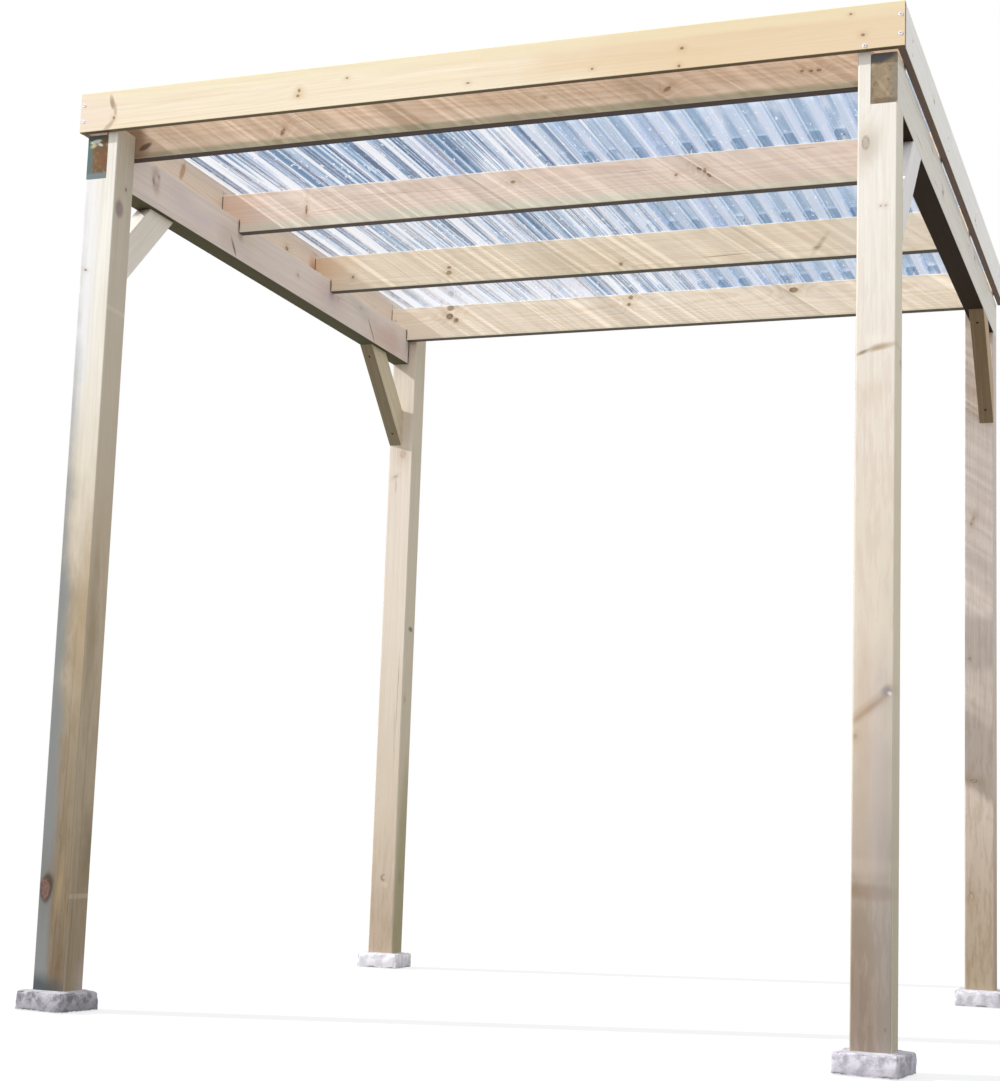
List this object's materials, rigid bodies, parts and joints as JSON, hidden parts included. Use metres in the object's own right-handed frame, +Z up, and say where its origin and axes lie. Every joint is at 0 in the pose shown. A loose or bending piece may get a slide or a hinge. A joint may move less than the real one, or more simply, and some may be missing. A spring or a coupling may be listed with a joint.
{
  "type": "timber carport",
  "caption": "Open timber carport: square posts on concrete pads, side beams with knee braces, notched rafters, fascia boards and a clear ribbed sheet roof.",
  "frame": {"origin": "on the ground, at the centre of the part's box, in the middle of the bay", "axes": "+Z up, -Y towards the front fascia, +X to the right as seen from the front"},
  "size_m": [2.1982, 2.289, 2.383],
  "materials": {
    "concrete": "rough grey concrete with chipped edges",
    "post_timber": "planed softwood, weathered grey towards the foot",
    "frame_timber": "planed softwood with a grey bloom",
    "rafter_timber": "planed knotty softwood",
    "fascia_timber": "pale planed softwood with knots",
    "clear_sheet": "clear bluish ribbed sheet"
  },
  "bodies": {
    "root": {"centre_roof_sheet": "clear_sheet", "front_fascia": "fascia_timber", "front_left_brace": "frame_timber", "front_left_pad": "concrete", "front_left_post": "post_timber", "front_rafter": "rafter_timber", "front_right_brace": "frame_timber", "front_right_pad": "concrete", "front_right_post": "post_timber", "left_fascia": "fascia_timber", "left_roof_sheet": "clear_sheet", "left_side_beam": "frame_timber", "rear_left_brace": "frame_timber", "rear_left_pad": "concrete", "rear_left_post": "post_timber", "rear_rafter": "rafter_timber", "rear_right_brace": "frame_timber", "rear_right_pad": "concrete", "rear_right_post": "post_timber", "right_fascia": "fascia_timber", "right_roof_sheet": "clear_sheet", "right_side_beam": "frame_timber", "second_rafter": "rafter_timber", "third_rafter": "rafter_timber"}
  },
  "joints": []
}
